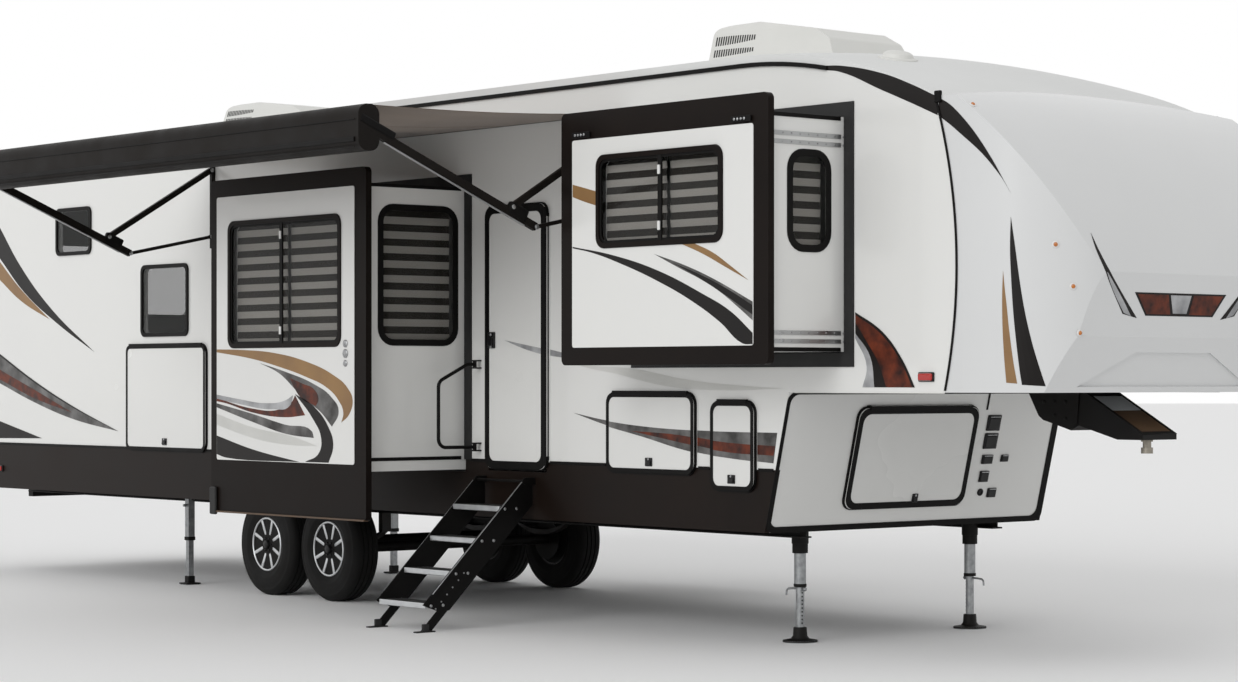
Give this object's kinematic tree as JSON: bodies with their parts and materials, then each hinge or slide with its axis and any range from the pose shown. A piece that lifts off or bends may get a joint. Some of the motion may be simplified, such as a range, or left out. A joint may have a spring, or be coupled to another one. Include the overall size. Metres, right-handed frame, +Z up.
{
  "type": "fifth wheel travel trailer",
  "caption": "Long travel trailer with a raised front deck over the kingpin, slide-out rooms, side awning, entry steps, storage lids and tandem axles, parked on its landing legs.",
  "frame": {"origin": "on the ground under the middle of the whole trailer's box", "axes": "+X forward towards the nose, +Y to the off side (away from the entry door), +Z up"},
  "size_m": [12.74, 5.359, 4.0503],
  "materials": {
    "wall_laminate": "smooth moulded glass-fibre laminate",
    "cap_fibreglass": "moulded gel coat",
    "dark_trim": "painted dark brown",
    "roof_membrane": "rubber roof sheet",
    "floor_board": "sealed board",
    "window_trim": "black powder coat",
    "tinted_glass": "tinted safety glass",
    "seal_rubber": "black bulb seal",
    "frame_steel": "black chassis paint",
    "galvanised_steel": "zinc plated",
    "pin_box_steel": "black powder coat",
    "kingpin_steel": "turned and greased",
    "awning_frame": "dark bronze powder coat",
    "awning_cover": "charcoal cover",
    "awning_cloth": "woven acrylic sheet",
    "unit_shroud": "moulded shroud",
    "red_lens": "moulded acrylic lens",
    "step_steel": "black powder coat",
    "step_aluminium": "ribbed extrusion",
    "handle_tube": "black powder coat",
    "handle_bracket": "black powder coat",
    "tyre": "rubber",
    "rim_aluminium": "machined and painted"
  },
  "bodies": {
    "trailer": {"door_side_wall": "wall_laminate", "off_side_wall": "wall_laminate", "rear_wall": "wall_laminate", "door_side_skirt": "dark_trim", "off_side_skirt": "dark_trim", "rear_skirt": "dark_trim", "roof": "roof_membrane", "front_cap": "cap_fibreglass", "lower_floor": "floor_board", "upper_deck": "floor_board", "step_bulkhead": "floor_board", "basement_front": "cap_fibreglass", "opening_frames": "window_trim", "window_frames": "window_trim", "window_glass": "tinted_glass", "slide_seals": "seal_rubber", "door_side_rail": "frame_steel", "off_side_rail": "frame_steel", "cross_members": "frame_steel", "rear_bumper": "frame_steel", "axles": "frame_steel", "leaf_springs": "frame_steel", "landing_legs": "galvanised_steel", "rear_stabilisers": "galvanised_steel", "pin_box": "pin_box_steel", "kingpin": "kingpin_steel", "awning_arms": "awning_frame", "awning_roller": "awning_cover", "awning_fabric": "awning_cloth", "front_air_conditioner": "unit_shroud", "rear_air_conditioner": "unit_shroud", "tail_lamps": "red_lens", "step_brackets": "step_steel", "handle_brackets": "handle_bracket"},
    "entry_door": {"entry_door": "wall_laminate"},
    "front_hatch": {"front_hatch": "cap_fibreglass"},
    "grab_handle": {"grab_handle": "handle_tube"},
    "entry_steps": {"step_sides": "step_steel", "step_treads": "step_aluminium"},
    "rear_hatch": {"rear_hatch": "wall_laminate"},
    "rear_storage_door": {"rear_storage_door": "wall_laminate"},
    "front_storage_door": {"front_storage_door": "wall_laminate"},
    "off_side_storage_door": {"off_side_storage_door": "wall_laminate"},
    "mid_slide": {"mid_slide_box": "wall_laminate", "mid_slide_fascia": "dark_trim", "mid_slide_glass": "tinted_glass"},
    "bedroom_slide": {"bedroom_slide_box": "wall_laminate", "bedroom_slide_fascia": "dark_trim", "bedroom_slide_glass": "tinted_glass"},
    "off_side_slide": {"off_side_slide_box": "wall_laminate", "off_side_slide_fascia": "dark_trim", "off_side_slide_glass": "tinted_glass"},
    "wheel_front_door_side": {"tyre_front_door_side": "tyre", "rim_front_door_side": "rim_aluminium"},
    "wheel_front_off_side": {"tyre_front_off_side": "tyre", "rim_front_off_side": "rim_aluminium"},
    "wheel_rear_door_side": {"tyre_rear_door_side": "tyre", "rim_rear_door_side": "rim_aluminium"},
    "wheel_rear_off_side": {"tyre_rear_off_side": "tyre", "rim_rear_off_side": "rim_aluminium"}
  },
  "joints": [
    {"name": "wheel_front_door_side_spin", "type": "hinge", "parent": "trailer", "child": "wheel_front_door_side", "pos_m": [-1.03, -0.4365, 0.391], "axis": [0, 1, 0], "continuous": true},
    {"name": "wheel_front_off_side_spin", "type": "hinge", "parent": "trailer", "child": "wheel_front_off_side", "pos_m": [-1.03, 1.6275, 0.391], "axis": [0, 1, 0], "continuous": true},
    {"name": "wheel_rear_door_side_spin", "type": "hinge", "parent": "trailer", "child": "wheel_rear_door_side", "pos_m": [-1.901, -0.4365, 0.391], "axis": [0, 1, 0], "continuous": true},
    {"name": "wheel_rear_off_side_spin", "type": "hinge", "parent": "trailer", "child": "wheel_rear_off_side", "pos_m": [-1.901, 1.6275, 0.391], "axis": [0, 1, 0], "continuous": true},
    {"name": "mid_slide_travel", "type": "slide", "parent": "trailer", "child": "mid_slide", "axis": [0, 1, 0], "range_m": [0, 0.791]},
    {"name": "bedroom_slide_travel", "type": "slide", "parent": "trailer", "child": "bedroom_slide", "axis": [0, 1, 0], "range_m": [0, 0.561]},
    {"name": "off_side_slide_travel", "type": "slide", "parent": "trailer", "child": "off_side_slide", "axis": [0, -1, 0], "range_m": [0, 0.791]},
    {"name": "rear_hatch_hinge", "type": "hinge", "parent": "trailer", "child": "rear_hatch", "pos_m": [-3.264, -0.6435, 1.938], "axis": [-1, 0, 0], "range_deg": [0, 95]},
    {"name": "rear_storage_door_hinge", "type": "hinge", "parent": "trailer", "child": "rear_storage_door", "pos_m": [2.935, -0.6435, 1.576], "axis": [-1, 0, 0], "range_deg": [0, 95]},
    {"name": "front_storage_door_hinge", "type": "hinge", "parent": "trailer", "child": "front_storage_door", "pos_m": [3.7565, -0.6435, 1.526], "axis": [-1, 0, 0], "range_deg": [0, 95]},
    {"name": "off_side_storage_door_hinge", "type": "hinge", "parent": "trailer", "child": "off_side_storage_door", "pos_m": [2.935, 1.8345, 1.576], "axis": [1, 0, 0], "range_deg": [0, 95]},
    {"name": "front_hatch_hinge", "type": "hinge", "parent": "trailer", "child": "front_hatch", "pos_m": [4.26439, 0.5105, 1.48251], "axis": [0, -1, 0], "range_deg": [0, 95]},
    {"name": "entry_door_hinge", "type": "hinge", "parent": "trailer", "child": "entry_door", "pos_m": [1.831, -0.6435, 1.945], "axis": [0, 0, 1], "range_deg": [0, 155]},
    {"name": "entry_steps_hinge", "type": "hinge", "parent": "trailer", "child": "entry_steps", "pos_m": [1.398, -0.7045, 0.97], "axis": [-1, 0, 0], "range_deg": [0, 123]},
    {"name": "grab_handle_hinge", "type": "hinge", "parent": "trailer", "child": "grab_handle", "pos_m": [1.04, -0.6695, 1.475], "axis": [0, 0, 1], "range_deg": [0, 85]}
  ]
}
